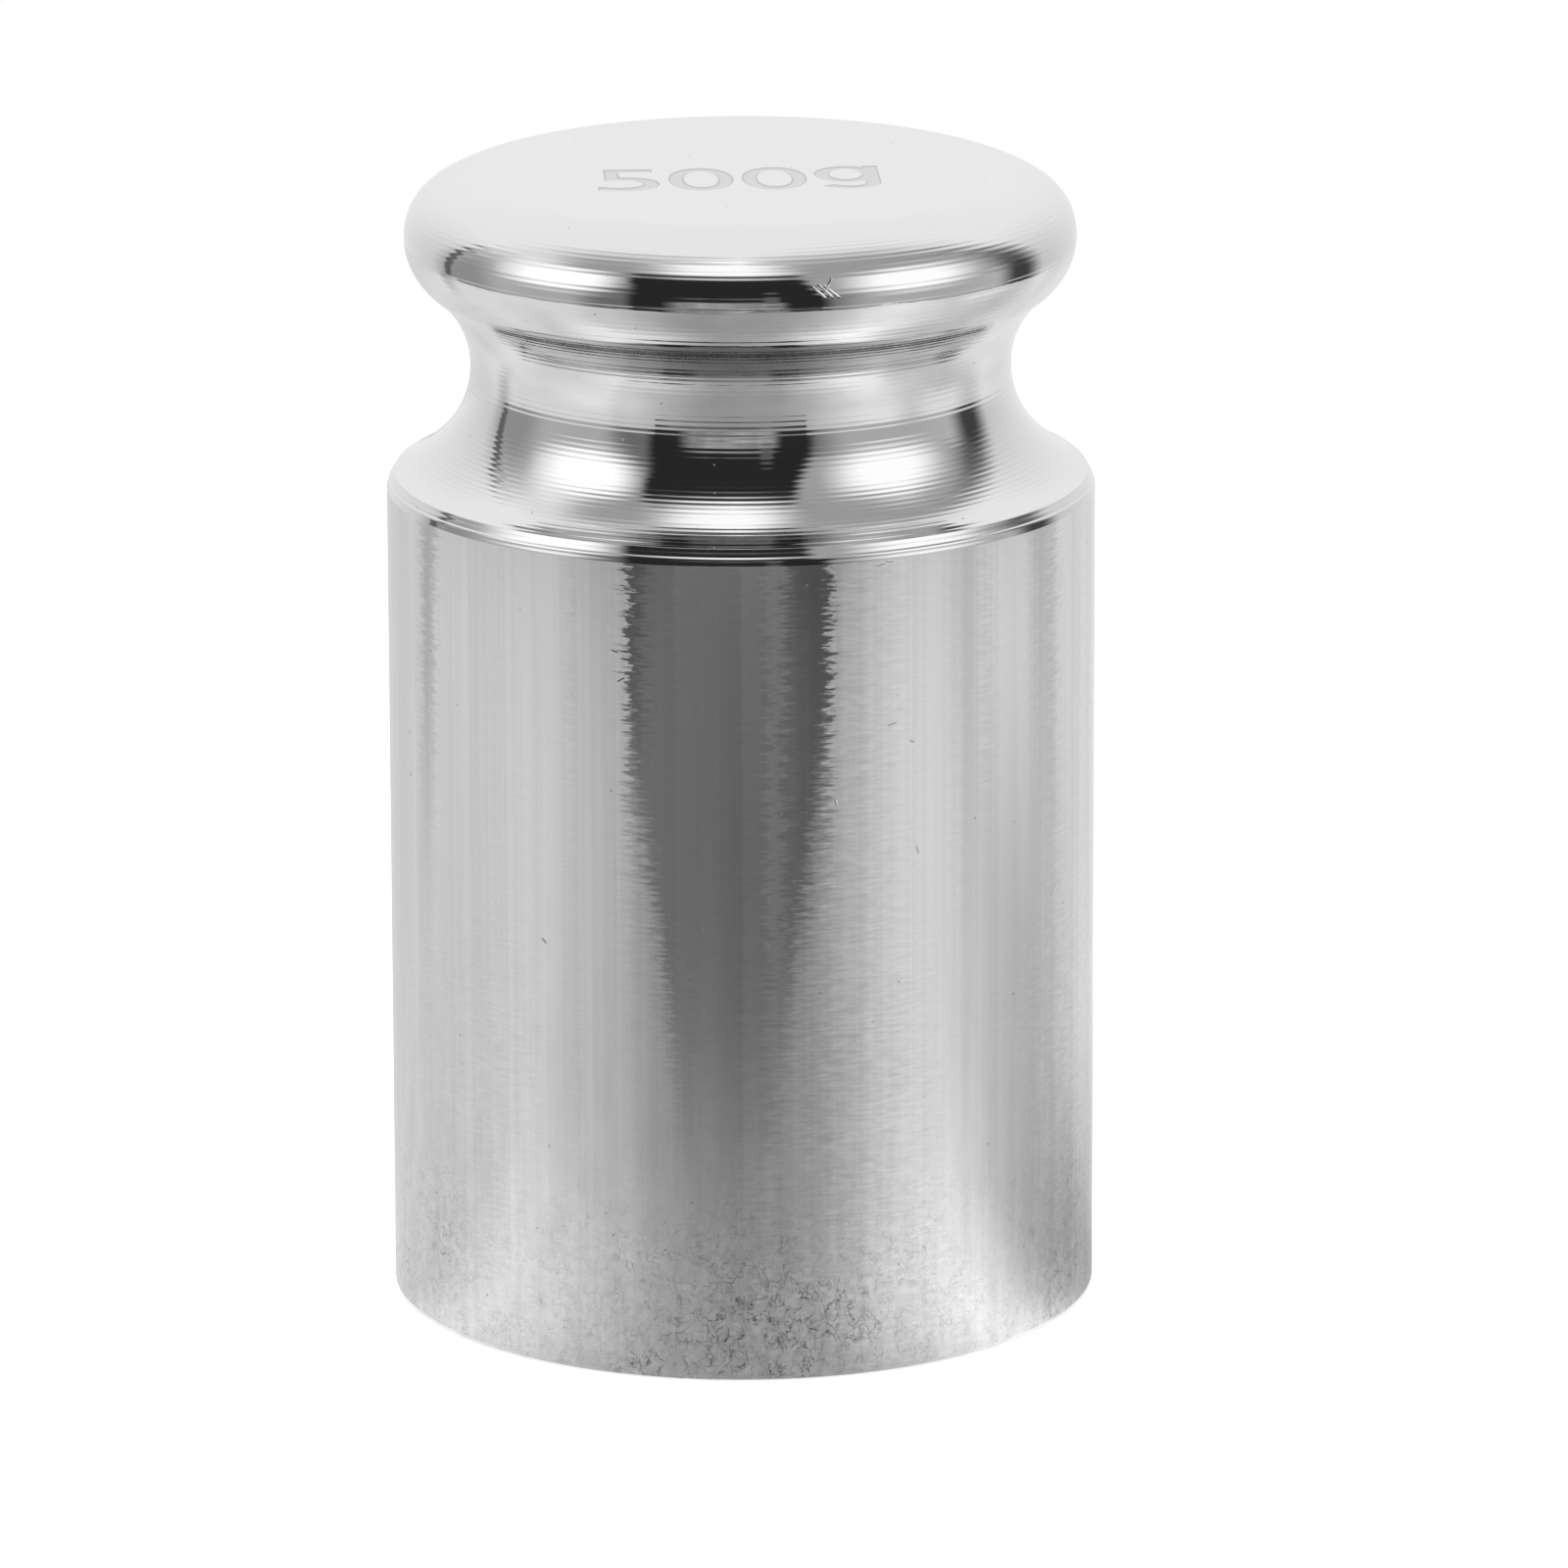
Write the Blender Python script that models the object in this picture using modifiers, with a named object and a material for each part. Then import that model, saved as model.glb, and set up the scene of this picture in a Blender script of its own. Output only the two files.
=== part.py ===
"""Calibration weight, turned in one piece from solid metal.

From the floor up it has a flat base, a straight round body, a sharp shoulder edge with a narrow
bevel, an ogee that runs in to a waisted neck, and a rounded knob with a flat top.

Metres, +Z up. The origin is the middle of the base, and +Z is the axis that it is turned about.
"""
import math

import bpy

# Driving dimensions. The heights stack up from the base to 60 mm.
BODY_DIAMETER = 0.0370
BODY_HEIGHT = 0.0433           # straight side, up to the shoulder's sharp edge
BASE_EDGE_BREAK = 0.0003       # small chamfer round the base
BEVEL_HEIGHT = 0.00045         # narrow bevel above the shoulder's sharp edge
BEVEL_INSET = 0.00008
SHOULDER_HEIGHT = 0.0060       # from the top of the bevel up to the neck's narrowest ring
SHOULDER_START_TILT = 20.0     # degrees from upright, where the shoulder leaves the bevel
SHOULDER_ROLL_RADIUS = 0.0016  # convex part of the shoulder's ogee
NECK_DIAMETER = 0.0282         # at the narrowest ring
BELLY_HEIGHT = 0.00665         # from the neck's narrowest ring up to the knob's widest ring
BELLY_RADIUS = 0.0028          # convex underside of the knob
KNOB_DIAMETER = 0.0350         # at the widest ring
RIM_HEIGHT = 0.0036            # from the knob's widest ring up to its flat top
RIM_WIDTH = 0.0041             # from the knob's widest ring in to the edge of its flat top

# Fineness of the mesh
TURN_STEPS = 96
RIM_POINTS = 10
OUTER_ARC_POINTS = 5
NECK_ARC_POINTS = 6
MERGE_DISTANCE = 0.00001
SHARP_ANGLE = math.radians(30.0)

# Finish
CHROME_COLOUR = (0.80, 0.80, 0.81, 1.0)
CHROME_ROUGHNESS = 0.12
CHROME_METALLIC = 1.0

COLLECTION_NAME = "calibration_weight"
NODE_NAME = "weight"


def clear_scene():
    for thing in list(bpy.data.objects):
        bpy.data.objects.remove(thing)


def spread(count):
    """Fractions from 0 to 1 inclusive."""
    return [step / (count - 1) for step in range(count)]


def ogee(outer_r, outer_z, neck_r, neck_z, outer_radius, start_tilt):
    """Two tangent arcs from an outer point to the neck's narrowest ring, as (r, z) points.

    The first is convex, of outer_radius, and leaves the outer point at start_tilt from upright.
    The second is concave and comes to the neck upright. Its radius follows from the two ends.
    """
    side = 1.0 if neck_z > outer_z else -1.0
    inward = outer_r - neck_r + outer_radius * (1.0 - math.cos(start_tilt))
    along = abs(neck_z - outer_z) + outer_radius * math.sin(start_tilt)
    turn = 2.0 * math.atan2(inward, along)
    neck_radius = along / math.sin(turn) - outer_radius
    outer_centre_r = outer_r - outer_radius * math.cos(start_tilt)
    outer_centre_z = outer_z - side * outer_radius * math.sin(start_tilt)
    neck_centre_r = neck_r + neck_radius
    points = []
    for fraction in spread(OUTER_ARC_POINTS):
        tilt = start_tilt + fraction * (turn - start_tilt)
        points.append((outer_centre_r + outer_radius * math.cos(tilt),
                       outer_centre_z + side * outer_radius * math.sin(tilt)))
    for fraction in spread(NECK_ARC_POINTS)[1:]:
        tilt = turn * (1.0 - fraction)
        points.append((neck_centre_r - neck_radius * math.cos(tilt),
                       neck_z - side * neck_radius * math.sin(tilt)))
    return points


def rim(widest_r, widest_z):
    """A quarter of an ellipse from the flat top's edge down to the knob's widest ring."""
    points = []
    for fraction in spread(RIM_POINTS):
        angle = (1.0 - fraction) * math.pi / 2.0
        points.append((widest_r - RIM_WIDTH + RIM_WIDTH * math.cos(angle),
                       widest_z + RIM_HEIGHT * math.sin(angle)))
    return points


def weight_profile():
    """The outline from the middle of the top, down the outer side, to the middle of the base."""
    body_r = BODY_DIAMETER / 2.0
    neck_r = NECK_DIAMETER / 2.0
    knob_r = KNOB_DIAMETER / 2.0
    bevel_r = body_r - BEVEL_INSET
    bevel_z = BODY_HEIGHT + BEVEL_HEIGHT
    neck_z = bevel_z + SHOULDER_HEIGHT
    widest_z = neck_z + BELLY_HEIGHT
    top_z = widest_z + RIM_HEIGHT

    knob_underside = ogee(knob_r, widest_z, neck_r, neck_z, BELLY_RADIUS, 0.0)
    shoulder = ogee(bevel_r, bevel_z, neck_r, neck_z, SHOULDER_ROLL_RADIUS,
                    math.radians(SHOULDER_START_TILT))

    outline = [(0.0, top_z)]
    outline += rim(knob_r, widest_z)
    outline += knob_underside[1:]
    outline += shoulder[-2::-1]
    outline.append((body_r, BODY_HEIGHT))
    outline.append((body_r, BASE_EDGE_BREAK))
    outline.append((body_r - BASE_EDGE_BREAK, 0.0))
    outline.append((0.0, 0.0))
    return outline


def chrome():
    material = bpy.data.materials.new("polished_chrome")
    material.use_nodes = True
    shader = material.node_tree.nodes["Principled BSDF"]
    shader.inputs["Base Color"].default_value = CHROME_COLOUR
    shader.inputs["Roughness"].default_value = CHROME_ROUGHNESS
    shader.inputs["Metallic"].default_value = CHROME_METALLIC
    return material


def turned(name, outline, material, collection):
    """A solid of revolution about Z, from an outline of (r, z) points."""
    line = bpy.data.meshes.new(name + "_outline")
    edges = [(index, index + 1) for index in range(len(outline) - 1)]
    line.from_pydata([(r, 0.0, z) for r, z in outline], edges, [])
    blank = bpy.data.objects.new(name + "_outline", line)
    collection.objects.link(blank)
    screw = blank.modifiers.new("turn", "SCREW")
    screw.axis = "Z"
    screw.angle = math.tau
    screw.steps = TURN_STEPS
    screw.render_steps = TURN_STEPS
    screw.use_merge_vertices = True
    screw.merge_threshold = MERGE_DISTANCE

    bpy.context.view_layer.update()
    depsgraph = bpy.context.evaluated_depsgraph_get()
    mesh = bpy.data.meshes.new_from_object(blank.evaluated_get(depsgraph))
    bpy.data.objects.remove(blank)
    bpy.data.meshes.remove(line)

    mesh.name = name
    mesh.shade_smooth()
    mesh.set_sharp_from_angle(angle=SHARP_ANGLE)
    mesh.materials.append(material)
    piece = bpy.data.objects.new(name, mesh)
    collection.objects.link(piece)
    return piece


def build():
    clear_scene()
    collection = bpy.data.collections.new(COLLECTION_NAME)
    bpy.context.scene.collection.children.link(collection)
    turned(NODE_NAME, weight_profile(), chrome(), collection)


build()
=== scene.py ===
"""Looks of the calibration weight: one turned, polished piece with its value marked in the top."""
import math

import bmesh
import bpy
from mathutils import Matrix, Quaternion, Vector


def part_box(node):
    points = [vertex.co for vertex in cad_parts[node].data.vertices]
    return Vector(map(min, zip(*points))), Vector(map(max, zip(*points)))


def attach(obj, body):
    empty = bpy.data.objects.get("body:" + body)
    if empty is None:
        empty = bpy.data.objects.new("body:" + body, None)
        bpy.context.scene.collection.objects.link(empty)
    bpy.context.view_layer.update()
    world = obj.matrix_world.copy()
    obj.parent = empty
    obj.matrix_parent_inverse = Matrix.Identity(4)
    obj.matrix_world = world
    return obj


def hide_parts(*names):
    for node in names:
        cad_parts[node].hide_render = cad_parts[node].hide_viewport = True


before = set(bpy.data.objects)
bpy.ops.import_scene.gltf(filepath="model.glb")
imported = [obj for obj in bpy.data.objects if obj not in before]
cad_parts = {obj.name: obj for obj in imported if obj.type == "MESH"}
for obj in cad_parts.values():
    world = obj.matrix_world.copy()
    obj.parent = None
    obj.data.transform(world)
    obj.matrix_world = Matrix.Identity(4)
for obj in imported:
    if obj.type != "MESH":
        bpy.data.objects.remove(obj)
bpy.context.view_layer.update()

MM = 0.001

# Photograph's camera, measured from the rings' outlines in its 1600 x 1600 frame
PHOTO_SIZE = 1600.0
CAMERA_DISTANCE = 0.6045
CAMERA_ELEVATION = math.radians(14.75)
CAMERA_FOCAL_PIXELS = 11745.0
CAMERA_ROLL = math.radians(0.2)
CAMERA_TARGET = Vector((0.0, 0.0, 0.030))
TARGET_PIXEL = (757.3, 743.0)
SENSOR_WIDTH_MM = 36.0
CLIP_START = 0.01

# The turned outline, fitted in the CAD piece's own box
low_corner, high_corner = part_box("weight")
BODY_R = high_corner[0]
TOP_Z = high_corner[2]
BODY_HEIGHT = 43.3 * MM
BASE_EDGE_BREAK = 0.3 * MM
BEVEL_HEIGHT = 0.30 * MM
BEVEL_INSET = 0.08 * MM
NECK_R = 14.1 * MM
NECK_Z = 49.75 * MM
KNOB_R = 17.5 * MM
BELLY_RADIUS = 3.5 * MM
EDGE_FILLET = 0.05 * MM
TURN_STEPS = 256
SHARP_ANGLE = math.radians(5.0)

# Arcs as (radius, surface tilt from upright at the arc's end, points), walked from a ring of tilt 0
RIM_ARCS = ((2.92 * MM, 60.0, 24), (6.51 * MM, 90.0, 14))
SHOULDER_ARCS = ((5.463 * MM, 40.0, 24), (7.926 * MM, 65.0, 20))

# The value marked in the flat top: character, middle along X, width, height
MARK = (("5", -5.80 * MM, 3.25 * MM, 5.3 * MM),
        ("0", -2.02 * MM, 3.38 * MM, 5.5 * MM),
        ("0", 1.77 * MM, 3.38 * MM, 5.5 * MM),
        ("g", 5.55 * MM, 3.38 * MM, 5.5 * MM))
MARK_STROKE = 0.75 * MM
MARK_Y = -2.5 * MM
MARK_TURN = math.radians(3.0)
MARK_EDGE = 0.08 * MM
MARK_THINNING = 0.055 * MM
MARK_DEPTH = 0.03 * MM
MARK_LIFT = 0.001 * MM

# Finish
POLISHED_COLOUR = (0.78, 0.78, 0.78, 1.0)
GROUND_COLOUR = (0.69, 0.69, 0.69, 1.0)
MARK_COLOUR = (0.66, 0.66, 0.66, 1.0)
MARK_WALL_SHADE_COLOUR = (0.50, 0.50, 0.50, 1.0)
POLISHED_ROUGHNESS = 0.05
GROUND_ROUGHNESS = (0.10, 0.145)
SPECK_ROUGHNESS = 0.75
GROOVE_PITCH_MM = 0.28
GROOVE_TILTS = (0.030, 0.075)
# Painted shade: how far the colour is darkened on a band under the knob, in front and behind
SHADE_RING_TONE = 0.55
HAIRLINE_TONE = -0.48
# Nicks are painted lighter on one side and darker on the other: a painted highlight and shade along each
# scratch
NICK_LIGHT_AND_SHADE = 0.35
NICK_TILT = 0.30
NICK_HALF_WIDTH = 0.07
WEAR_MIDDLE = 1.5

# Zones of the finish, in mm above the base: where each starts to show and where it is full
BODY_ZONE = (43.30, 43.28)
GROUND_ZONE = (30.0, 5.0)
SMEAR_ZONE = (28.0, 5.0)
DASH_ZONE = (26.0, 18.0)
WEAR_ZONE = (13.0, 2.5)
STAINS_FOOT = (49.8, 50.6)
STAINS_HEAD = (56.4, 56.0)
# Where the band of painted shade under the knob starts and where it is full
SHADE_RING_FOOT = (52.2, 52.6)
SHADE_RING_HEAD = (54.32, 54.20)
GROOVES_HEAD = (59.9, 59.2)
LIP_MIDDLE = 43.71
KNOB_CREASE = 56.25

# Upright streaks of the ground body: waves per degree, detail, strength
STREAKS = ((0.186, 4.0, 0.24), (0.93, 3.0, 0.10))

# Single nicks and scratches: angle from the front in degrees, height and length in mm, turn in degrees
NICKS = ((-19.5, 37.2, 0.5, -60.0), (-69.0, 31.6, 0.35, 40.0), (-68.5, 29.4, 0.35, 30.0),
         (-33.5, 22.8, 0.45, 50.0), (24.5, 34.6, 0.6, -75.0), (28.0, 33.6, 0.35, 60.0),
         (15.0, 30.8, 0.35, 10.0), (29.0, 27.8, 0.5, 20.0), (61.0, 23.6, 1.1, -40.0),
         (-20.5, 38.6, 0.4, 70.0), (24.0, 43.2, 0.5, 80.0), (22.5, 43.1, 0.6, 100.0),
         (13.2, 57.2, 1.1, 50.0), (14.3, 57.25, 1.2, 48.0), (15.4, 57.2, 1.2, 53.0),
         (14.8, 57.5, 0.9, -35.0), (130.0, 18.0, 1.2, -30.0), (171.0, 33.0, 0.6, 55.0))

# The studio that the metal reflects, in degrees of azimuth (0 towards the camera, 90 towards +X)
# and elevation: middle, half size, squareness, softness, brightness
STUDIO = (
    ((1.0, -12.0), (123.0, 40.0), 5.0, 0.42, 0.48),     # lower walls
    ((-107.0, -8.0), (14.0, 40.0), 2.0, 0.60, 0.33),    # left wall
    ((-117.0, 6.0), (2.2, 28.0), 2.0, 0.50, 0.14),      # dark line beside it
    ((-92.0, 74.0), (34.0, 22.0), 2.0, 0.70, 0.66),     # left ceiling
    ((84.0, 74.0), (56.0, 22.0), 2.0, 0.70, 0.62),      # right ceiling
    ((-5.0, 0.0), (41.0, 30.0), 3.0, 0.30, 0.12),       # shade behind the table
    ((14.0, 38.0), (100.0, 26.0), 5.0, 0.12, 0.14),     # shade round the soft boxes
    ((67.0, 36.0), (41.0, 24.0), 5.0, 0.12, 0.42),      # haze on the right
    ((110.0, -4.0), (9.0, 34.0), 2.2, 0.70, 0.06),      # dark panel on the right
    ((-70.0, 31.0), (22.0, 19.0), 2.2, 0.47, 1.32),     # left soft box
    ((66.0, 30.0), (23.0, 19.5), 2.2, 0.52, 1.26),      # right soft box
    ((-42.0, -4.0), (13.0, 14.0), 2.0, 0.60, 0.17),     # left corner
    ((-68.0, 61.0), (32.0, 10.0), 2.0, 0.60, 0.40),     # gap over the left soft box
    ((66.0, 65.0), (40.0, 14.0), 2.0, 0.60, 0.40),      # gap over the right soft box
    ((-12.0, 72.0), (38.0, 14.0), 2.2, 0.60, 1.25),     # overhead soft box
)
FRONT_DARK = 0.024
FRONT_LEFT = -38.5
FRONT_LEFT_HIGH = -48.0
FRONT_RIGHT = 29.5
FRONT_RIGHT_HIGH = 26.0
FRONT_SOFT = 3.0
TABLE_MIDDLE = (-4.0, -14.0)
TABLE_HALF = (19.0, 22.0)
TABLE_LEVELS = (0.25, 0.46)
STAND_MIDDLE = (10.5, 12.0)
STAND_HALF = (2.6, 9.0)
STAND_LEVEL = 0.12

# The floor. Its darker sectors of painted light in reflections: middle and half width in degrees, drop near
# the object and far from it
FLOOR_RADIUS = 0.27
FLOOR_GAP = 0.02 * MM
FLOOR_COLOUR = (0.5, 0.5, 0.5, 1.0)
FLOOR_GLOW = 0.55
WHITE = (1.0, 1.0, 1.0, 1.0)
TABLE_DIPS = ((-118.0, 8.0, 0.03, 0.28), (-95.0, 40.0, 0.06, 0.02), (-52.0, 7.0, 0.05, 0.05),
              (75.0, 13.0, 0.02, 0.20), (95.0, 45.0, 0.34, 0.04), (111.0, 14.0, 0.02, 0.26))

# The polished wedge: its middle in degrees, and its half width, which grows with the distance in mm
WEDGE_MIDDLE = -4.3
WEDGE_SPREAD = 0.20
WEDGE_START = 1.0
WEDGE_HALF = 31.2
WEDGE_EDGE_LEVEL = 0.045

# Lamps: name, place and size in metres, power in watts
LAMPS = (("left_lamp", (-0.9, -0.45, 0.8), 0.6, 6.0),
         ("right_lamp", (0.9, -0.45, 0.8), 0.6, 6.0),
         ("overhead_lamp", (0.0, 0.1, 1.2), 0.9, 8.0))


def spread(count):
    """Fractions from 0 to 1 inclusive."""
    return [step / (count - 1) for step in range(count)]


def walk(start, arcs, up, bulge):
    """Points of tangent arcs from a ring of tilt 0, up or down, bulging out (1) or in (-1)."""
    r, z = start
    tilt = 0.0
    points = [start]
    for radius, end_degrees, count in arcs:
        end = math.radians(end_degrees)
        for fraction in spread(count)[1:]:
            angle = tilt + fraction * (end - tilt)
            points.append((r + bulge * radius * (math.cos(angle) - math.cos(tilt)),
                           z + up * radius * (math.sin(angle) - math.sin(tilt))))
        r, z = points[-1]
        tilt = end
    return points


def underside(widest_z):
    """Two tangent arcs from the knob's widest ring to the neck's narrowest ring."""
    along = widest_z - NECK_Z
    inward = KNOB_R - NECK_R
    turn = 2.0 * math.atan2(inward, along)
    neck_radius = along / math.sin(turn) - BELLY_RADIUS
    belly = walk((KNOB_R, widest_z), ((BELLY_RADIUS, math.degrees(turn), 24),), -1.0, 1.0)
    neck = walk((NECK_R, NECK_Z), ((neck_radius, math.degrees(turn), 30),), 1.0, -1.0)
    return belly + neck[-2::-1]


def fillet(before, corner, after, radius):
    """A small round in place of an outline's corner."""
    corner = Vector(corner)
    way_in = (corner - Vector(before)).normalized()
    way_out = (Vector(after) - corner).normalized()
    reach = radius * math.tan(way_in.angle(way_out) / 2.0)
    start = corner - way_in * reach
    end = corner + way_out * reach
    points = []
    for fraction in spread(5):
        first = start.lerp(corner, fraction)
        second = corner.lerp(end, fraction)
        points.append(tuple(first.lerp(second, fraction)))
    return points


def outline():
    """The profile from the edge of the flat top, down the outer side, to the base."""
    rim_rise = walk((KNOB_R, 0.0), RIM_ARCS, 1.0, 1.0)[-1][1]
    widest_z = TOP_Z - rim_rise
    points = walk((KNOB_R, widest_z), RIM_ARCS, 1.0, 1.0)[::-1]
    points += underside(widest_z)[1:]
    points += walk((NECK_R, NECK_Z), SHOULDER_ARCS, -1.0, -1.0)[1:]
    bevel_top = (BODY_R - BEVEL_INSET, BODY_HEIGHT + BEVEL_HEIGHT)
    bevel_foot = (BODY_R, BODY_HEIGHT)
    foot_top = (BODY_R, BASE_EDGE_BREAK)
    foot = (BODY_R - BASE_EDGE_BREAK, 0.0)
    lip = points.pop()
    points += fillet(points[-1], lip, bevel_top, EDGE_FILLET)
    points += fillet(lip, bevel_top, bevel_foot, EDGE_FILLET)
    points += fillet(bevel_top, bevel_foot, foot_top, EDGE_FILLET)
    points += fillet(bevel_foot, foot_top, foot, EDGE_FILLET)
    points += fillet(foot_top, foot, (0.0, 0.0), EDGE_FILLET)
    return points


def turned_mesh(name, profile):
    """A surface turned about Z, closed by a flat disc at each end."""
    mesh = bpy.data.meshes.new(name)
    build = bmesh.new()
    lengths = build.verts.layers.float.new("profile_mm")
    rings = []
    travelled = 0.0
    previous = profile[0]
    for r, z in profile:
        travelled += math.hypot(r - previous[0], z - previous[1])
        previous = (r, z)
        ring = []
        for step in range(TURN_STEPS):
            angle = math.tau * step / TURN_STEPS
            vert = build.verts.new((r * math.cos(angle), r * math.sin(angle), z))
            vert[lengths] = travelled / MM
            ring.append(vert)
        rings.append(ring)
    for upper, lower in zip(rings[:-1], rings[1:]):
        for step in range(TURN_STEPS):
            after = (step + 1) % TURN_STEPS
            build.faces.new((upper[step], lower[step], lower[after], upper[after]))
    build.faces.new(rings[0])
    build.faces.new(rings[-1][::-1])
    build.to_mesh(mesh)
    build.free()
    return mesh


def oval(middle, radii, start_degrees, end_degrees, count=24):
    """Points of an oval's arc."""
    points = []
    for fraction in spread(count):
        angle = math.radians(start_degrees + fraction * (end_degrees - start_degrees))
        points.append((middle[0] + radii[0] * math.cos(angle), middle[1] + radii[1] * math.sin(angle)))
    return points


def letter_g(width, height):
    """A plain g with one bowl and an open tail, as an outline and the bowl's hole."""
    right = width / 2.0
    stem = right - MARK_STROKE
    bowl_radii = (width * 0.48, height * 0.355)
    bowl = (right - 0.03 * width - bowl_radii[0], height / 2.0 - bowl_radii[1])
    hole_radii = (bowl_radii[0] - MARK_STROKE, bowl_radii[1] - 0.85 * MARK_STROKE)
    meeting = math.degrees(math.acos((stem - bowl[0]) / bowl_radii[0]))
    tail = (0.02 * width, -0.25 * height)
    tail_radii = (right - tail[0], height / 2.0 + tail[1])
    tail_inner = (tail_radii[0] - MARK_STROKE, tail_radii[1] - 0.85 * MARK_STROKE)
    edge = [(right, height / 2.0)]
    edge += oval(tail, tail_radii, 0.0, -150.0)
    edge += oval(tail, tail_inner, -150.0, 0.0)
    edge += oval(bowl, bowl_radii, -meeting, meeting - 360.0, 40)
    edge.append((stem, height / 2.0))
    return edge, oval(bowl, hole_radii, 0.0, 351.0, 40)


def character_curve(character, width, height):
    """One character as a flat filled curve."""
    if character != "g":
        curve = bpy.data.curves.new("mark", "FONT")
        curve.body = character
        curve.size = height
        curve.resolution_u = 8
        return curve
    curve = bpy.data.curves.new("mark", "CURVE")
    curve.dimensions = "2D"
    for ring in letter_g(width, height):
        spline = curve.splines.new("POLY")
        spline.points.add(len(ring) - 1)
        for point, (x, y) in zip(spline.points, ring):
            point.co = (x, y, 0.0, 1.0)
        spline.use_cyclic_u = True
    return curve


def mark_cutter():
    """The characters as one flat cutter, widest at the level of the flat top."""
    build = bmesh.new()
    for character, middle, width, height in MARK:
        curve = character_curve(character, width, height)
        curve.fill_mode = "BOTH"
        curve.offset = -MARK_THINNING
        curve.bevel_depth = MARK_EDGE
        curve.bevel_resolution = 0
        letter = bpy.data.objects.new("mark", curve)
        bpy.context.scene.collection.objects.link(letter)
        bpy.context.view_layer.update()
        evaluated = letter.evaluated_get(bpy.context.evaluated_depsgraph_get())
        mesh = bpy.data.meshes.new_from_object(evaluated)
        low = [min(vert.co[axis] for vert in mesh.vertices) for axis in range(3)]
        high = [max(vert.co[axis] for vert in mesh.vertices) for axis in range(3)]
        for vert in mesh.vertices:
            x = (vert.co.x - (low[0] + high[0]) / 2.0) * width / (high[0] - low[0])
            y = (vert.co.y - (low[1] + high[1]) / 2.0) * height / (high[1] - low[1])
            vert.co = (middle + x, y, vert.co.z * MARK_DEPTH / MARK_EDGE)
        build.from_mesh(mesh)
        bpy.data.objects.remove(letter)
        bpy.data.curves.remove(curve)
        bpy.data.meshes.remove(mesh)
    bmesh.ops.remove_doubles(build, verts=build.verts, dist=0.001 * MM)
    bmesh.ops.recalc_face_normals(build, faces=build.faces)
    for face in build.faces:
        face.material_index = 1
    cutter_mesh = bpy.data.meshes.new("mark_cutter")
    build.to_mesh(cutter_mesh)
    build.free()
    lift = Matrix.Translation((0.0, MARK_Y, TOP_Z + MARK_LIFT))
    cutter_mesh.transform(lift @ Matrix.Rotation(MARK_TURN, 4, "Z"))
    cutter = bpy.data.objects.new("mark_cutter", cutter_mesh)
    bpy.context.scene.collection.objects.link(cutter)
    return cutter


class Nodes:
    """Adds shader nodes to a tree and links them, a call for each."""

    def __init__(self, tree):
        self.tree = tree
        tree.nodes.clear()

    def feed(self, socket, value):
        if isinstance(value, bpy.types.NodeSocket):
            self.tree.links.new(value, socket)
        else:
            socket.default_value = value

    def add(self, kind, settings=None, **inputs):
        node = self.tree.nodes.new(kind)
        for name, value in (settings or {}).items():
            setattr(node, name, value)
        for name, value in inputs.items():
            self.feed(node.inputs[name.replace("_", " ")], value)
        return node

    def math(self, operation, first, second=0.0):
        node = self.tree.nodes.new("ShaderNodeMath")
        node.operation = operation
        self.feed(node.inputs[0], first)
        self.feed(node.inputs[1], second)
        return node.outputs[0]

    def vector(self, operation, first, second=(0.0, 0.0, 0.0), scale=1.0):
        node = self.tree.nodes.new("ShaderNodeVectorMath")
        node.operation = operation
        self.feed(node.inputs[0], first)
        if operation == "SCALE":
            self.feed(node.inputs["Scale"], scale)
        elif operation != "NORMALIZE":
            self.feed(node.inputs[1], second)
        return node.outputs["Vector"]

    def ramp(self, value, low, high, to_low=0.0, to_high=1.0):
        """A smooth step from to_low at low to to_high at high."""
        node = self.tree.nodes.new("ShaderNodeMapRange")
        node.interpolation_type = "SMOOTHSTEP"
        self.feed(node.inputs["Value"], value)
        self.feed(node.inputs["From Min"], low)
        self.feed(node.inputs["From Max"], high)
        self.feed(node.inputs["To Min"], to_low)
        self.feed(node.inputs["To Max"], to_high)
        return node.outputs["Result"]

    def mix(self, factor, first, second):
        """A plain blend of two numbers."""
        node = self.tree.nodes.new("ShaderNodeMix")
        node.data_type = "FLOAT"
        self.feed(node.inputs[0], factor)
        self.feed(node.inputs[2], first)
        self.feed(node.inputs[3], second)
        return node.outputs[0]

    def mix_colour(self, factor, first, second):
        node = self.tree.nodes.new("ShaderNodeMix")
        node.data_type = "RGBA"
        self.feed(node.inputs[0], factor)
        self.feed(node.inputs[6], first)
        self.feed(node.inputs[7], second)
        return node.outputs[2]

    def noise(self, place, detail=2.0, roughness=0.5):
        """Noise of about 0 to 1 at a place that is already scaled."""
        node = self.add("ShaderNodeTexNoise", Vector=place, Scale=1.0, Detail=detail,
                        Roughness=roughness)
        return node.outputs["Fac"]

    def line_noise(self, value, scale, detail=2.0):
        """Noise of about 0 to 1 along one number."""
        node = self.add("ShaderNodeTexNoise", {"noise_dimensions": "1D"}, W=value, Scale=scale,
                        Detail=detail)
        return node.outputs["Fac"]

    def centred(self, value, size):
        """Noise moved to be about 0, times size."""
        return self.math("MULTIPLY", self.math("SUBTRACT", value, 0.5), size)


def scratch(nodes, across, along, half_width, half_length):
    """-1 and 1 on the two sides of a straight scratch, 0 away from it."""
    share = nodes.math("DIVIDE", across, half_width)
    share = nodes.math("MINIMUM", nodes.math("MAXIMUM", share, -1.0), 1.0)
    sides = nodes.math("SINE", nodes.math("MULTIPLY", share, math.pi))
    ends = nodes.ramp(nodes.math("ABSOLUTE", along), half_length, half_length * 0.6)
    return nodes.math("MULTIPLY", sides, ends)


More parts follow.
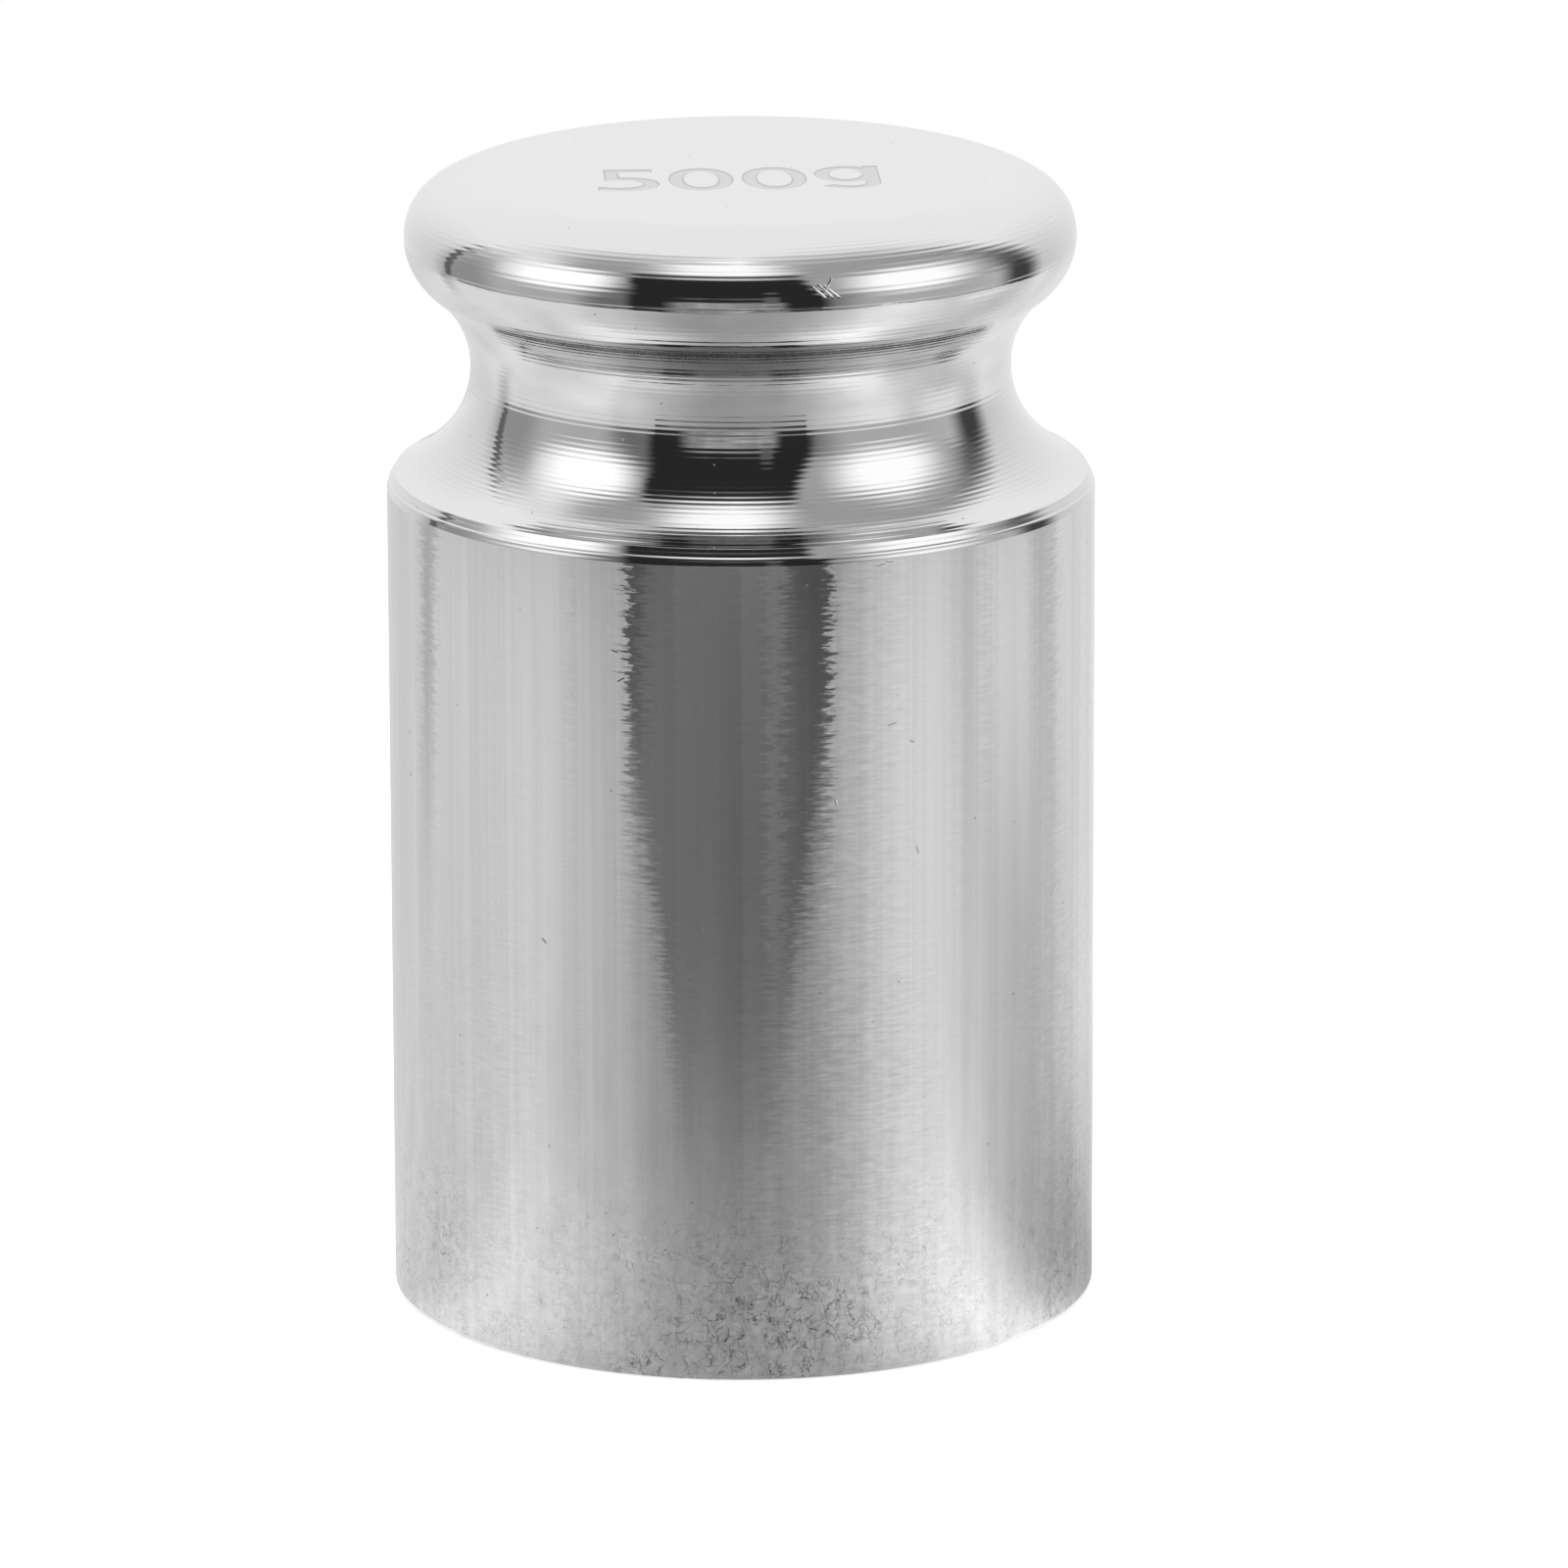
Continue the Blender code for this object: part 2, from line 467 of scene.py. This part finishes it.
def turned_pair(nodes, x, y, turn):
    """The pair x, y turned by an angle in radians."""
    cosine = nodes.math("COSINE", turn)
    sine = nodes.math("SINE", turn)
    first = nodes.math("ADD", nodes.math("MULTIPLY", x, cosine), nodes.math("MULTIPLY", y, sine))
    second = nodes.math("SUBTRACT", nodes.math("MULTIPLY", y, cosine), nodes.math("MULTIPLY", x, sine))
    return first, second


def nicks(nodes, girth, height):
    """The single nicks and scratches listed in NICKS."""
    total = 0.0
    for angle, middle, length, turn in NICKS:
        x = nodes.math("SUBTRACT", girth, math.radians(angle) * BODY_R / MM)
        y = nodes.math("SUBTRACT", height, middle)
        across, along = turned_pair(nodes, x, y, math.radians(turn))
        mark = scratch(nodes, across, along, NICK_HALF_WIDTH, length / 2.0)
        total = nodes.math("ADD", total, mark)
    return total


def turned_grooves(nodes, grooved):
    """Fine turned grooves of uneven depth, as a tilt along the outline."""
    length = nodes.add("ShaderNodeAttribute", {"attribute_name": "profile_mm"}).outputs["Fac"]
    groove = nodes.math("SINE", nodes.math("MULTIPLY", length, math.tau / GROOVE_PITCH_MM))
    depth = nodes.ramp(nodes.line_noise(length, 2.3, 1.0), 0.3, 0.7, *GROOVE_TILTS)
    return nodes.math("MULTIPLY", nodes.math("MULTIPLY", groove, depth), grooved)


def facet_lean(nodes, height, angle):
    """The lean that turning left on the knob's rim, the shoulder, its lip and the belly's foot."""
    crease = nodes.math("ADD", KNOB_CREASE, nodes.centred(nodes.line_noise(angle, 0.06, 4.0), 0.7))
    rim = nodes.ramp(nodes.math("SUBTRACT", height, crease), -0.05, 0.05)
    rim = nodes.math("MULTIPLY", rim, nodes.ramp(height, 58.2, 59.0, 0.115, 0.05))
    rim = nodes.math("MULTIPLY", rim, nodes.ramp(height, 59.6, 59.0))
    shoulder = nodes.math("MULTIPLY", nodes.ramp(height, 50.4, 49.4), nodes.ramp(height, 44.15, 45.1))
    shoulder = nodes.math("MULTIPLY", shoulder, nodes.ramp(height, 46.9, 46.3, 0.070, 0.120))
    lip = nodes.math("ABSOLUTE", nodes.math("SUBTRACT", height, LIP_MIDDLE))
    lip = nodes.ramp(lip, 0.05, 0.02, 0.0, 0.28)
    foot = nodes.math("MULTIPLY", nodes.ramp(height, 54.70, 54.30, 0.0, 0.15),
                      nodes.ramp(height, 54.26, 54.36))
    return nodes.math("ADD", nodes.math("SUBTRACT", rim, shoulder), nodes.math("ADD", lip, foot))


def wear(nodes, place, angle, height):
    """How worn the body is: most near the base, in front and behind, and in patches."""
    patches = nodes.noise(nodes.vector("MULTIPLY", place, (200.0, 200.0, 260.0)), 3.0, 0.6)
    patches = nodes.ramp(patches, 0.38, 0.62)
    side = nodes.math("ABSOLUTE", nodes.math("SUBTRACT", angle, WEAR_MIDDLE))
    share = nodes.ramp(side, 40.0, 14.0, 0.30, 1.0)
    share = nodes.math("ADD", share, nodes.ramp(side, 48.0, 62.0, 0.0, 0.45))
    share = nodes.math("MULTIPLY", nodes.ramp(height, *WEAR_ZONE), share)
    return nodes.math("MULTIPLY", share, nodes.mix(patches, 0.45, 1.0))


def cracks(nodes, girth, height, girth_scale, height_scale, shift):
    """1 on the dark lines of a fine net over the body, 0 between them."""
    x = nodes.math("ADD", nodes.math("MULTIPLY", girth, girth_scale), shift)
    place = nodes.add("ShaderNodeCombineXYZ", X=x, Y=nodes.math("MULTIPLY", height, height_scale))
    settings = {"voronoi_dimensions": "2D", "feature": "DISTANCE_TO_EDGE"}
    cells = nodes.add("ShaderNodeTexVoronoi", settings, Vector=place.outputs["Vector"], Scale=1.0)
    return nodes.ramp(cells.outputs["Distance"], 0.075, 0.01)


def hairlines(nodes, place, girth, height):
    """Two crooked, broken nets of hairlines laid over each other."""
    bend = nodes.add("ShaderNodeTexNoise", Vector=place, Scale=1300.0, Detail=2.0)
    bend = nodes.add("ShaderNodeSeparateColor", Color=bend.outputs["Color"])
    bent_girth = nodes.math("ADD", girth, nodes.centred(bend.outputs["Red"], 1.5))
    bent_height = nodes.math("ADD", height, nodes.centred(bend.outputs["Green"], 1.5))
    net = nodes.math("ADD", cracks(nodes, bent_girth, bent_height, 1.7, 1.9, 0.0),
                     cracks(nodes, bent_girth, bent_height, 2.6, 0.9, 60.0))
    return nodes.math("MULTIPLY", net, nodes.ramp(bend.outputs["Blue"], 0.38, 0.52, 0.20, 1.0))


def upright_streaks(nodes, angle, height):
    """Broad, middling and fine upright streaks over the body."""
    place = nodes.add("ShaderNodeCombineXYZ", X=nodes.math("MULTIPLY", angle, 0.40),
                      Y=nodes.math("MULTIPLY", height, 0.02))
    total = nodes.centred(nodes.noise(place.outputs["Vector"], 3.0, 0.65), 0.17)
    for scale, detail, strength in STREAKS:
        streak = nodes.centred(nodes.line_noise(angle, scale, detail), strength)
        total = nodes.math("ADD", total, streak)
    return total


def body_tones(nodes, place, waved, angle, girth, height, dashes, nick):
    """Lighter and darker marks over the ground body, about 0."""
    worn = wear(nodes, place, angle, height)
    smear = nodes.noise(nodes.vector("MULTIPLY", place, (1000.0, 1000.0, 260.0)), 3.0, 0.6)
    crackle = nodes.noise(nodes.vector("MULTIPLY", waved, (2000.0, 2000.0, 1700.0)), 3.0, 0.6)
    net = nodes.math("MULTIPLY", hairlines(nodes, place, girth, height), worn)
    tones = nodes.math("MULTIPLY", nodes.centred(smear, 0.75), nodes.ramp(height, *SMEAR_ZONE, 0.05, 0.40))
    # The nicks' tone below is painted highlight and shade: one side of each scratch lighter, the other
    # darker
    for layer in (upright_streaks(nodes, angle, height),
                  nodes.math("MULTIPLY", nodes.centred(dashes, 1.0),
                             nodes.ramp(height, *DASH_ZONE, 0.10, 0.26)),
                  nodes.math("MULTIPLY", nodes.centred(crackle, 1.0), worn),
                  nodes.math("MULTIPLY", net, HAIRLINE_TONE),
                  nodes.math("MULTIPLY", nick, NICK_LIGHT_AND_SHADE)):
        tones = nodes.math("ADD", tones, layer)
    return tones


def painted_shade_ring(nodes, radians, height):
    """1 on a band under the knob, in front and behind, where the colour is darkened as painted shade
    standing in for a dark reflection.
    """
    ring = nodes.math("MULTIPLY", nodes.ramp(height, *SHADE_RING_FOOT), nodes.ramp(height, *SHADE_RING_HEAD))
    facing = nodes.ramp(nodes.math("ABSOLUTE", nodes.math("COSINE", radians)), 0.84, 0.975)
    return nodes.math("MULTIPLY", ring, facing)


def dust_specks(nodes, place):
    """1 on a few small round specks, 0 between them."""
    cells = nodes.add("ShaderNodeTexVoronoi", Vector=place, Scale=1500.0)
    chosen = nodes.add("ShaderNodeSeparateColor", Color=cells.outputs["Color"]).outputs["Red"]
    return nodes.math("MULTIPLY", nodes.ramp(cells.outputs["Distance"], 0.12, 0.07),
                      nodes.math("GREATER_THAN", chosen, 0.94))


def polished_metal():
    """Metal ground in level dashes on the body, and turned in fine grooves above it."""
    material = bpy.data.materials.new("polished_chrome")
    material.use_nodes = True
    nodes = Nodes(material.node_tree)
    normal = nodes.add("ShaderNodeNewGeometry").outputs["Normal"]
    place = nodes.add("ShaderNodeTexCoord").outputs["Object"]
    split = nodes.add("ShaderNodeSeparateXYZ", Vector=place)
    height = nodes.math("DIVIDE", split.outputs["Z"], MM)
    radians = nodes.math("ARCTAN2", split.outputs["X"],
                         nodes.math("MULTIPLY", split.outputs["Y"], -1.0))
    angle = nodes.math("DEGREES", radians)
    girth = nodes.math("MULTIPLY", radians, BODY_R / MM)
    on_body = nodes.ramp(height, *BODY_ZONE)
    grooved = nodes.math("MULTIPLY", nodes.math("SUBTRACT", 1.0, on_body),
                         nodes.ramp(height, *GROOVES_HEAD))
    stained = nodes.math("MULTIPLY", nodes.ramp(height, *STAINS_FOOT), nodes.ramp(height, *STAINS_HEAD))

    wave = nodes.add("ShaderNodeTexNoise", Vector=place, Scale=900.0, Detail=1.0)
    wave = nodes.vector("MULTIPLY", wave.outputs["Color"], (0.0003, 0.0003, 0.00006))
    waved = nodes.vector("ADD", place, wave)
    dashes = nodes.noise(nodes.vector("MULTIPLY", waved, (1000.0, 1000.0, 6400.0)), 3.0, 0.65)
    dash_tilt = nodes.math("MULTIPLY", nodes.centred(dashes, 0.17), on_body)
    dents = nodes.noise(nodes.vector("MULTIPLY", place, (300.0, 300.0, 520.0)), 3.0, 0.6)
    dent_tilt = nodes.math("MULTIPLY", nodes.centred(dents, 1.0), grooved)
    dent_tilt = nodes.math("MULTIPLY", dent_tilt, nodes.mix(stained, 0.05, 0.14))
    nick = nicks(nodes, girth, height)
    nick_tilt = nodes.math("MULTIPLY", nick, NICK_TILT)

    sideways = nodes.math("ADD", dash_tilt, nick_tilt)
    lengthways = nodes.math("ADD", facet_lean(nodes, height, angle), turned_grooves(nodes, grooved))
    lengthways = nodes.math("ADD", lengthways, nodes.math("ADD", dent_tilt, nick_tilt))
    across = nodes.vector("NORMALIZE", nodes.vector("CROSS_PRODUCT", (0.0, 0.0, 1.0), normal))
    along = nodes.vector("CROSS_PRODUCT", normal, across)
    bent = nodes.vector("ADD", normal, nodes.vector("SCALE", across, scale=sideways))
    bent = nodes.vector("ADD", bent, nodes.vector("SCALE", along, scale=lengthways))
    bent = nodes.vector("NORMALIZE", bent)

    tones = body_tones(nodes, place, waved, angle, girth, height, dashes, nick)
    tones = nodes.math("MULTIPLY", tones, on_body)
    stains = nodes.noise(nodes.vector("MULTIPLY", place, (190.0, 190.0, 420.0)), 3.0, 0.55)
    stains = nodes.math("MULTIPLY", nodes.centred(stains, 0.60), stained)
    tones = nodes.math("ADD", 1.0, nodes.math("ADD", tones, stains))
    # Painted shade: the band under the knob is darkened in front and behind, standing in for a dark
    # reflection
    tones = nodes.math("MULTIPLY", tones, nodes.mix(painted_shade_ring(nodes, radians, height), 1.0, SHADE_RING_TONE))
    colour = nodes.mix_colour(on_body, POLISHED_COLOUR, GROUND_COLOUR)
    colour = nodes.vector("SCALE", colour, scale=tones)

    ground = nodes.ramp(height, *GROUND_ZONE, *GROUND_ROUGHNESS)
    roughness = nodes.mix(on_body, POLISHED_ROUGHNESS, ground)
    roughness = nodes.mix(dust_specks(nodes, place), roughness, SPECK_ROUGHNESS)
    tangent = nodes.add("ShaderNodeTangent", {"direction_type": "RADIAL", "axis": "Z"})
    shader = nodes.add("ShaderNodeBsdfPrincipled", Base_Color=colour, Metallic=1.0,
                       Roughness=roughness, Anisotropic=0.95, Anisotropic_Rotation=0.25,
                       Normal=bent, Tangent=tangent.outputs["Tangent"])
    nodes.add("ShaderNodeOutputMaterial", Surface=shader.outputs["BSDF"])
    return material


def etched_metal():
    """The duller metal inside the marked characters, with painted shade darkening their walls."""
    material = bpy.data.materials.new("etched_mark")
    material.use_nodes = True
    nodes = Nodes(material.node_tree)
    place = nodes.add("ShaderNodeTexCoord").outputs["Object"]
    grain = nodes.noise(nodes.vector("MULTIPLY", place, (9000.0, 9000.0, 9000.0)), 2.0)
    split = nodes.add("ShaderNodeSeparateXYZ", Vector=nodes.add("ShaderNodeNewGeometry").outputs["Normal"])
    # Painted shade: the walls of the characters' recess get a darker colour
    wall = nodes.ramp(split.outputs["Z"], 0.9999, 0.985)
    colour = nodes.mix_colour(wall, MARK_COLOUR, MARK_WALL_SHADE_COLOUR)
    shader = nodes.add("ShaderNodeBsdfPrincipled", Base_Color=colour, Metallic=1.0,
                       Roughness=nodes.mix(grain, 0.22, 0.34))
    nodes.add("ShaderNodeOutputMaterial", Surface=shader.outputs["BSDF"])
    return material


def make_weight():
    """The turned blank with the mark cut into its top."""
    mesh = turned_mesh("weight_blank", outline())
    mesh.materials.append(polished_metal())
    mesh.materials.append(etched_metal())
    blank = bpy.data.objects.new("weight_blank", mesh)
    bpy.context.scene.collection.objects.link(blank)
    cutter = mark_cutter()
    cutter.data.materials.append(mesh.materials[0])
    cutter.data.materials.append(mesh.materials[1])
    cut = blank.modifiers.new("mark", "BOOLEAN")
    cut.operation = "DIFFERENCE"
    cut.solver = "MANIFOLD"
    cut.object = cutter
    bpy.context.view_layer.update()
    evaluated = blank.evaluated_get(bpy.context.evaluated_depsgraph_get())
    marked = bpy.data.meshes.new_from_object(evaluated)
    bpy.data.objects.remove(blank)
    bpy.data.objects.remove(cutter)
    marked.name = "weight_turned"
    marked.shade_smooth()
    marked.set_sharp_from_angle(angle=SHARP_ANGLE)
    piece = bpy.data.objects.new("weight_turned", marked)
    bpy.context.scene.collection.objects.link(piece)
    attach(piece, "root")
    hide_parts("weight")


def patch(nodes, azimuth, elevation, middle, half, squareness, soft):
    """1 inside a rounded patch of the studio, fading to 0 over the share soft of its size."""
    side = nodes.math("DIVIDE", nodes.math("SUBTRACT", azimuth, middle[0]), half[0])
    rise = nodes.math("DIVIDE", nodes.math("SUBTRACT", elevation, middle[1]), half[1])
    total = nodes.math("ADD", nodes.math("POWER", nodes.math("ABSOLUTE", side), squareness),
                       nodes.math("POWER", nodes.math("ABSOLUTE", rise), squareness))
    reach = nodes.math("POWER", total, 1.0 / squareness)
    return nodes.ramp(reach, 1.0 + soft, 1.0 - soft)


def dark_front(nodes, azimuth, elevation):
    """1 in the dark gap between the soft boxes, which moves to the left with height."""
    left_edge = nodes.ramp(elevation, 26.0, 52.0, FRONT_LEFT, FRONT_LEFT_HIGH)
    right_edge = nodes.ramp(elevation, 5.0, 45.0, FRONT_RIGHT, FRONT_RIGHT_HIGH)
    dark = nodes.ramp(nodes.math("SUBTRACT", azimuth, left_edge), -FRONT_SOFT, FRONT_SOFT)
    dark = nodes.math("MULTIPLY", dark, nodes.ramp(nodes.math("SUBTRACT", azimuth, right_edge),
                                                   FRONT_SOFT, -FRONT_SOFT))
    dark = nodes.math("MULTIPLY", dark, nodes.ramp(elevation, 66.0, 45.0))
    return nodes.math("MULTIPLY", dark, nodes.ramp(elevation, -12.0, -8.0))


def seen_in_reflection(nodes):
    """1 for rays that come off gloss or through glass, 0 for the camera's own and for diffuse light."""
    path = nodes.add("ShaderNodeLightPath")
    return nodes.math("MAXIMUM", path.outputs["Is Glossy Ray"], path.outputs["Is Transmission Ray"])


def set_world():
    """White to the eye and for light; in reflections the studio."""
    world = bpy.data.worlds.new("studio")
    bpy.context.scene.world = world
    world.use_nodes = True
    # Metal meets the studio by reflection, so sampling it as a lamp would only take time
    world.cycles.sampling_method = "NONE"
    nodes = Nodes(world.node_tree)
    way = nodes.add("ShaderNodeSeparateXYZ", Vector=nodes.add("ShaderNodeTexCoord").outputs["Generated"])
    toward = nodes.math("MULTIPLY", way.outputs["Y"], -1.0)
    azimuth = nodes.math("DEGREES", nodes.math("ARCTAN2", way.outputs["X"], toward))
    elevation = nodes.math("DEGREES", nodes.math("ARCSINE", way.outputs["Z"]))
    brightness = nodes.ramp(elevation, -10.0, 25.0, 0.88, 1.0)
    for middle, half, squareness, soft, level in STUDIO:
        share = patch(nodes, azimuth, elevation, middle, half, squareness, soft)
        brightness = nodes.mix(share, brightness, level)
    brightness = nodes.mix(dark_front(nodes, azimuth, elevation), brightness, FRONT_DARK)

    stain = nodes.add("ShaderNodeCombineXYZ", X=nodes.math("MULTIPLY", azimuth, 0.09),
                      Y=nodes.math("MULTIPLY", elevation, 0.05))
    stain = nodes.noise(stain.outputs["Vector"], 2.0)
    table = patch(nodes, nodes.math("ADD", azimuth, nodes.centred(stain, 5.0)),
                  nodes.math("ADD", elevation, nodes.centred(stain, 9.0)),
                  TABLE_MIDDLE, TABLE_HALF, 5.0, 0.20)
    brightness = nodes.mix(table, brightness, nodes.ramp(stain, 0.32, 0.68, *TABLE_LEVELS))
    stand = patch(nodes, azimuth, elevation, STAND_MIDDLE, STAND_HALF, 2.5, 0.5)
    brightness = nodes.mix(stand, brightness, STAND_LEVEL)

    strength = nodes.mix(seen_in_reflection(nodes), 1.0, brightness)
    light = nodes.add("ShaderNodeBackground", Color=WHITE, Strength=strength)
    nodes.add("ShaderNodeOutputWorld", Surface=light.outputs["Background"])


def painted_table_light(nodes, azimuth, side, span):
    """The table's painted light as it glows in reflections, by the angle round the object and the distance
    from it in mm.
    """
    pale = nodes.math("MAXIMUM", nodes.ramp(azimuth, -8.0, -70.0, 0.37, 0.86),
                      nodes.ramp(azimuth, 10.0, 60.0, 0.37, 0.96))
    far = nodes.ramp(span, 80.0, 180.0)
    for middle, half_width, near_drop, far_drop in TABLE_DIPS:
        away = nodes.math("ABSOLUTE", nodes.math("SUBTRACT", azimuth, middle))
        drop = nodes.math("MULTIPLY", nodes.ramp(away, half_width, 0.0),
                          nodes.mix(far, near_drop, far_drop))
        pale = nodes.math("SUBTRACT", pale, drop)
    beyond = nodes.ramp(azimuth, -110.0, 85.0, 0.72, 0.58)
    # Painted light: close to the object the table is painted brighter, except far round to the sides, where
    # it is painted dimmer
    gain = nodes.math("MULTIPLY", nodes.ramp(side, 0.0, 30.0, 1.15, 1.38),
                      nodes.mix(nodes.ramp(side, 50.0, 85.0), 1.0, beyond))
    pale = nodes.math("MULTIPLY", pale, nodes.mix(nodes.ramp(span, 66.0, 27.0), 1.0, gain))
    pale = nodes.math("MULTIPLY", pale, nodes.ramp(side, 112.0, 140.0, 1.0, 0.88))
    outer = nodes.math("MULTIPLY", nodes.ramp(span, 185.0, 290.0), nodes.ramp(side, 126.0, 116.0))
    return nodes.math("MULTIPLY", pale, nodes.mix(outer, 1.0, 0.6))


def table_gloss(nodes, azimuth, span, pale):
    """How far the table mirrors the studio: a wedge in front of the object, at shallow angles."""
    half = nodes.math("SUBTRACT", nodes.math("MULTIPLY", span, WEDGE_SPREAD), WEDGE_START)
    half = nodes.math("MINIMUM", half, WEDGE_HALF)
    offset = nodes.math("ABSOLUTE", nodes.math("SUBTRACT", azimuth, WEDGE_MIDDLE))
    inner = nodes.math("SUBTRACT", offset, half)
    soft = nodes.ramp(span, 40.0, 85.0, 3.0, 0.4)
    wedge = nodes.ramp(inner, soft, nodes.math("MULTIPLY", soft, -1.0))
    wedge = nodes.math("MULTIPLY", wedge, nodes.ramp(span, 22.0, 85.0))
    facing = nodes.add("ShaderNodeLayerWeight", Blend=0.5).outputs["Facing"]
    steep = nodes.ramp(span, 30.0, 175.0, 0.66, 0.715)
    shallow = nodes.ramp(facing, steep, nodes.math("ADD", steep, 0.037))
    wedge = nodes.math("MULTIPLY", wedge, shallow)

    # The tone that the wedge is to have over a mirrored dark front, darkest along its edges
    core = nodes.ramp(nodes.line_noise(azimuth, 0.13, 2.0), 0.3, 0.7, 0.90, 1.15)
    core = nodes.math("MULTIPLY", core, nodes.ramp(azimuth, -12.0, 3.0, 0.140, 0.105))
    core = nodes.math("MULTIPLY", core, nodes.ramp(span, 40.0, 105.0, 2.3, 1.0))
    margin = nodes.math("MULTIPLY", nodes.ramp(azimuth, -15.0, 10.0, 2.2, 4.2),
                        nodes.ramp(span, 100.0, 250.0, 0.8, 2.4))
    rim = nodes.ramp(inner, nodes.math("MULTIPLY", margin, -1.6), nodes.math("MULTIPLY", margin, -0.4))
    core = nodes.mix(nodes.math("MULTIPLY", rim, nodes.ramp(span, 80.0, 150.0)), core, WEDGE_EDGE_LEVEL)
    share = nodes.math("DIVIDE", nodes.math("SUBTRACT", pale, core),
                       nodes.math("SUBTRACT", pale, FRONT_DARK))
    return nodes.math("MULTIPLY", share, wedge)


def blended(nodes, share, first, second):
    """Two shaders mixed."""
    blend = nodes.add("ShaderNodeMixShader")
    nodes.feed(blend.inputs[0], share)
    nodes.feed(blend.inputs[1], first.outputs[0])
    nodes.feed(blend.inputs[2], second.outputs[0])
    return blend


def floor_material():
    """White to the eye; in reflections a pale table glowing with painted light and shade, with a polished
    wedge in front of the object.
    """
    material = bpy.data.materials.new("floor")
    material.use_nodes = True
    nodes = Nodes(material.node_tree)
    place = nodes.add("ShaderNodeSeparateXYZ", Vector=nodes.add("ShaderNodeTexCoord").outputs["Object"])
    toward = nodes.math("MULTIPLY", place.outputs["Y"], -1.0)
    azimuth = nodes.math("DEGREES", nodes.math("ARCTAN2", place.outputs["X"], toward))
    side = nodes.math("ABSOLUTE", azimuth)
    span = nodes.math("SQRT", nodes.math("ADD", nodes.math("POWER", place.outputs["X"], 2.0),
                                         nodes.math("POWER", place.outputs["Y"], 2.0)))
    span = nodes.math("DIVIDE", span, MM)

    pale = painted_table_light(nodes, azimuth, side, span)
    # In reflections the table is an emission, its painted light, not lit by the lamps
    own = nodes.add("ShaderNodeEmission", Color=WHITE, Strength=pale)
    mirror = nodes.add("ShaderNodeBsdfGlossy", Color=WHITE, Roughness=0.0)
    table = blended(nodes, table_gloss(nodes, azimuth, span, pale), own, mirror)

    matte = nodes.add("ShaderNodeBsdfDiffuse", Color=FLOOR_COLOUR)
    glow = nodes.add("ShaderNodeEmission", Color=WHITE, Strength=FLOOR_GLOW)
    lit = nodes.add("ShaderNodeAddShader")
    nodes.feed(lit.inputs[0], matte.outputs[0])
    nodes.feed(lit.inputs[1], glow.outputs[0])
    shown = blended(nodes, seen_in_reflection(nodes), lit, table)
    nodes.add("ShaderNodeOutputMaterial", Surface=shown.outputs[0])
    return material


def set_floor():
    mesh = bpy.data.meshes.new("floor")
    build = bmesh.new()
    bmesh.ops.create_circle(build, cap_ends=True, segments=96, radius=FLOOR_RADIUS)
    build.to_mesh(mesh)
    build.free()
    mesh.materials.append(floor_material())
    floor = bpy.data.objects.new("floor", mesh)
    floor.location.z = low_corner[2] - FLOOR_GAP
    bpy.context.scene.collection.objects.link(floor)


def set_camera():
    data = bpy.data.cameras.new("camera")
    data.sensor_width = SENSOR_WIDTH_MM
    data.lens = CAMERA_FOCAL_PIXELS * SENSOR_WIDTH_MM / PHOTO_SIZE
    data.clip_start = CLIP_START
    camera = bpy.data.objects.new("camera", data)
    bpy.context.scene.collection.objects.link(camera)
    back = Vector((0.0, -math.cos(CAMERA_ELEVATION), math.sin(CAMERA_ELEVATION)))
    place = CAMERA_TARGET + CAMERA_DISTANCE * back
    side = (TARGET_PIXEL[0] - PHOTO_SIZE / 2.0) / CAMERA_FOCAL_PIXELS
    rise = -(TARGET_PIXEL[1] - PHOTO_SIZE / 2.0) / CAMERA_FOCAL_PIXELS
    aimed = (-back).to_track_quat("-Z", "Y")
    yaw = Quaternion((0.0, 1.0, 0.0), math.atan(side))
    pitch = Quaternion((1.0, 0.0, 0.0), -math.atan(rise))
    roll = Quaternion((0.0, 0.0, 1.0), -CAMERA_ROLL)
    camera.matrix_world = Matrix.LocRotScale(place, aimed @ yaw @ pitch @ roll, None)
    bpy.context.scene.camera = camera


def set_lamps():
    for name, place, size, watts in LAMPS:
        data = bpy.data.lights.new(name, "AREA")
        data.size = size
        data.energy = watts
        lamp = bpy.data.objects.new(name, data)
        lamp.location = place
        lamp.rotation_euler = (-Vector(place)).to_track_quat("-Z", "Y").to_euler()
        lamp.visible_glossy = False
        bpy.context.scene.collection.objects.link(lamp)


make_weight()
set_world()
set_floor()
set_lamps()
set_camera()
bpy.context.scene.view_settings.view_transform = "Standard"
